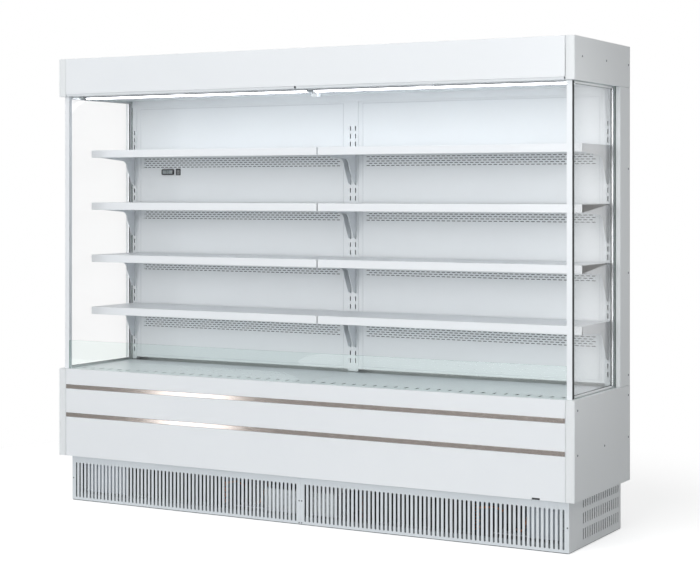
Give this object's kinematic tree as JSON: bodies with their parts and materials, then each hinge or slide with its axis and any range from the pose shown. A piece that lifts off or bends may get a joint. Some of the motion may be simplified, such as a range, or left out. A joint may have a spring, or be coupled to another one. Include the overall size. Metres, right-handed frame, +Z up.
{
  "type": "open multideck display fridge",
  "caption": "Tall open-fronted chilled display case with glazed ends, hook-on shelves, a louvred machinery base, roof lamps and pull-down night curtains.",
  "frame": {"origin": "on the floor, in the middle of the overall plan", "axes": "+X to the right-hand end seen from the front, +Y to the rear, +Z up"},
  "size_m": [2.438, 0.608, 1.956],
  "materials": {
    "white_enamel": "satin white powder coat on steel sheet",
    "side_enamel": "satin light grey-white powder coat on steel sheet",
    "liner_enamel": "satin white powder coat inside the case",
    "stainless_trim": "brushed along its length",
    "galvanised_steel": "galvanised, dull spangle",
    "clear_glass": "clear, faint green edge",
    "lamp_lens": "milky diffuser",
    "black_grid": "moulded dark honeycomb",
    "coil_fins": "thin pressed fins",
    "fan_plastic": "moulded black",
    "compressor_enamel": "black semi-gloss enamel",
    "box_enamel": "grey-blue enamel",
    "roller_tube": "mill finish tube with rolled cloth",
    "curtain_fabric": "woven reflective night-curtain cloth",
    "pull_bar": "white coated aluminium section",
    "thermometer_case": "moulded black case"
  },
  "bodies": {
    "root": {"air_outlet_honeycomb": "black_grid", "back_panel_left": "liner_enamel", "back_panel_right": "liner_enamel", "back_wall": "liner_enamel", "base_frame": "galvanised_steel", "base_grille_left": "white_enamel", "base_grille_right": "white_enamel", "base_side_panel_left": "side_enamel", "base_side_panel_right": "side_enamel", "bottom_deck_left": "white_enamel", "bottom_deck_right": "white_enamel", "canopy_front_panel": "white_enamel", "canopy_roof": "white_enamel", "canopy_side_left": "side_enamel", "canopy_side_right": "side_enamel", "ceiling_liner": "liner_enamel", "compressor_left": "compressor_enamel", "compressor_right": "compressor_enamel", "condensate_pan": "galvanised_steel", "condenser_coil_left": "coil_fins", "condenser_coil_right": "coil_fins", "control_box": "box_enamel", "curtain_cloth_left": "curtain_fabric", "curtain_cloth_right": "curtain_fabric", "evaporator_coil": "coil_fins", "front_glass": "clear_glass", "front_panel": "white_enamel", "insulated_tub": "liner_enamel", "led_lamp_left": "lamp_lens", "led_lamp_right": "lamp_lens", "lower_side_panel_left": "side_enamel", "lower_side_panel_right": "side_enamel", "rear_column_left": "side_enamel", "rear_column_right": "side_enamel", "shelf_1_left": "white_enamel", "shelf_1_right": "white_enamel", "shelf_2_left": "white_enamel", "shelf_2_right": "white_enamel", "shelf_3_left": "white_enamel", "shelf_3_right": "white_enamel", "shelf_4_left": "white_enamel", "shelf_4_right": "white_enamel", "shelf_standard_centre": "liner_enamel", "shelf_standard_left": "liner_enamel", "shelf_standard_right": "liner_enamel", "side_glass_left": "clear_glass", "side_glass_right": "clear_glass", "side_glass_trim_left": "white_enamel", "side_glass_trim_right": "white_enamel", "thermometer": "thermometer_case", "trim_bar_lower": "stainless_trim", "trim_bar_upper": "stainless_trim"},
    "condenser_fan_left": {"condenser_fan_left": "fan_plastic"},
    "condenser_fan_right": {"condenser_fan_right": "fan_plastic"},
    "curtain_pull_bar_left": {"curtain_pull_bar_left": "pull_bar"},
    "curtain_pull_bar_right": {"curtain_pull_bar_right": "pull_bar"},
    "curtain_roller_left": {"curtain_roller_left": "roller_tube"},
    "curtain_roller_right": {"curtain_roller_right": "roller_tube"},
    "evaporator_fan_left": {"evaporator_fan_left": "fan_plastic"},
    "evaporator_fan_right": {"evaporator_fan_right": "fan_plastic"}
  },
  "joints": [
    {"name": "condenser_fan_left_spin", "type": "hinge", "parent": "root", "child": "condenser_fan_left", "pos_m": [-0.634, -0.179, 0.1033], "axis": [0, 1, 0], "continuous": true},
    {"name": "evaporator_fan_left_spin", "type": "hinge", "parent": "root", "child": "evaporator_fan_left", "pos_m": [-0.5, -0.012, 0.3563], "axis": [0, 1, 0], "continuous": true},
    {"name": "condenser_fan_right_spin", "type": "hinge", "parent": "root", "child": "condenser_fan_right", "pos_m": [0.534, -0.179, 0.1033], "axis": [0, 1, 0], "continuous": true},
    {"name": "evaporator_fan_right_spin", "type": "hinge", "parent": "root", "child": "evaporator_fan_right", "pos_m": [0.5, -0.012, 0.3563], "axis": [0, 1, 0], "continuous": true},
    {"name": "curtain_left_pull", "type": "slide", "parent": "root", "child": "curtain_pull_bar_left", "axis": [0, 0, -1], "range_m": [0, 1.078], "stiffness_N_per_m": 12, "springref_m": -0.9, "deforming": ["curtain_cloth_left"]},
    {"name": "curtain_left_roller_turn", "type": "hinge", "parent": "root", "child": "curtain_roller_left", "pos_m": [-0.59, -0.262, 1.85], "axis": [1, 0, 0], "range_deg": [0, 3530]},
    {"name": "curtain_right_pull", "type": "slide", "parent": "root", "child": "curtain_pull_bar_right", "axis": [0, 0, -1], "range_m": [0, 1.078], "stiffness_N_per_m": 12, "springref_m": -0.9, "deforming": ["curtain_cloth_right"]},
    {"name": "curtain_right_roller_turn", "type": "hinge", "parent": "root", "child": "curtain_roller_right", "pos_m": [0.59, -0.262, 1.85], "axis": [1, 0, 0], "range_deg": [0, 3530]}
  ],
  "couplings": [
    {"joint": "curtain_left_roller_turn", "follows": "curtain_left_pull", "rad_per_m": 57.14},
    {"joint": "curtain_right_roller_turn", "follows": "curtain_right_pull", "rad_per_m": 57.14}
  ]
}
